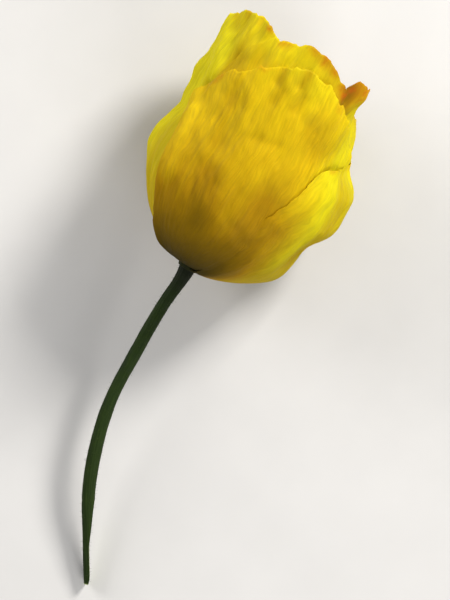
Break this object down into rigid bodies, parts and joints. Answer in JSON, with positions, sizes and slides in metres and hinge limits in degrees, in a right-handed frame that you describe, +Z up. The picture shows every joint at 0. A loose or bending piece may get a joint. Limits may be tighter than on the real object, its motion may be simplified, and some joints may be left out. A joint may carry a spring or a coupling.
{
  "type": "poppy flower",
  "caption": "Cut poppy flower lying down: cupped head of overlapping silky yellow petals round a seed capsule and stamens, on a curved green stem.",
  "frame": {"origin": "centre of the bounding box, on the surface that the flower lies on", "axes": "+Y along the flower's length, from the stem's cut end toward the head; +Z up from the surface; +X to the right, seen from above with the head away"},
  "size_m": [0.0614, 0.1262, 0.0433],
  "materials": {
    "petal": "thin silky petal, translucent, finely crinkled",
    "stem": "dark green, matt, with short stiff hairs",
    "receptacle": "dark green, matt",
    "capsule": "pale green, ribbed, finely hairy",
    "stigma": "velvety yellow-green rays",
    "stamen": "yellow, powdery pollen on the anthers"
  },
  "bodies": {
    "root": {"stem": "stem", "receptacle": "receptacle", "petal_left": "petal", "petal_right": "petal", "petal_front": "petal", "petal_back": "petal", "seed_capsule": "capsule", "stigma_disc": "stigma", "stamen_01": "stamen", "stamen_02": "stamen", "stamen_03": "stamen", "stamen_04": "stamen", "stamen_05": "stamen", "stamen_06": "stamen", "stamen_07": "stamen", "stamen_08": "stamen", "stamen_09": "stamen", "stamen_10": "stamen", "stamen_11": "stamen", "stamen_12": "stamen", "stamen_13": "stamen", "stamen_14": "stamen", "stamen_15": "stamen", "stamen_16": "stamen", "stamen_17": "stamen", "stamen_18": "stamen", "stamen_19": "stamen", "stamen_20": "stamen", "stamen_21": "stamen", "stamen_22": "stamen", "stamen_23": "stamen", "stamen_24": "stamen", "stamen_25": "stamen", "stamen_26": "stamen", "stamen_27": "stamen", "stamen_28": "stamen", "stamen_29": "stamen", "stamen_30": "stamen", "stamen_31": "stamen", "stamen_32": "stamen", "stamen_33": "stamen", "stamen_34": "stamen", "stamen_35": "stamen", "stamen_36": "stamen", "stamen_37": "stamen", "stamen_38": "stamen", "stamen_39": "stamen", "stamen_40": "stamen"}
  },
  "joints": []
}
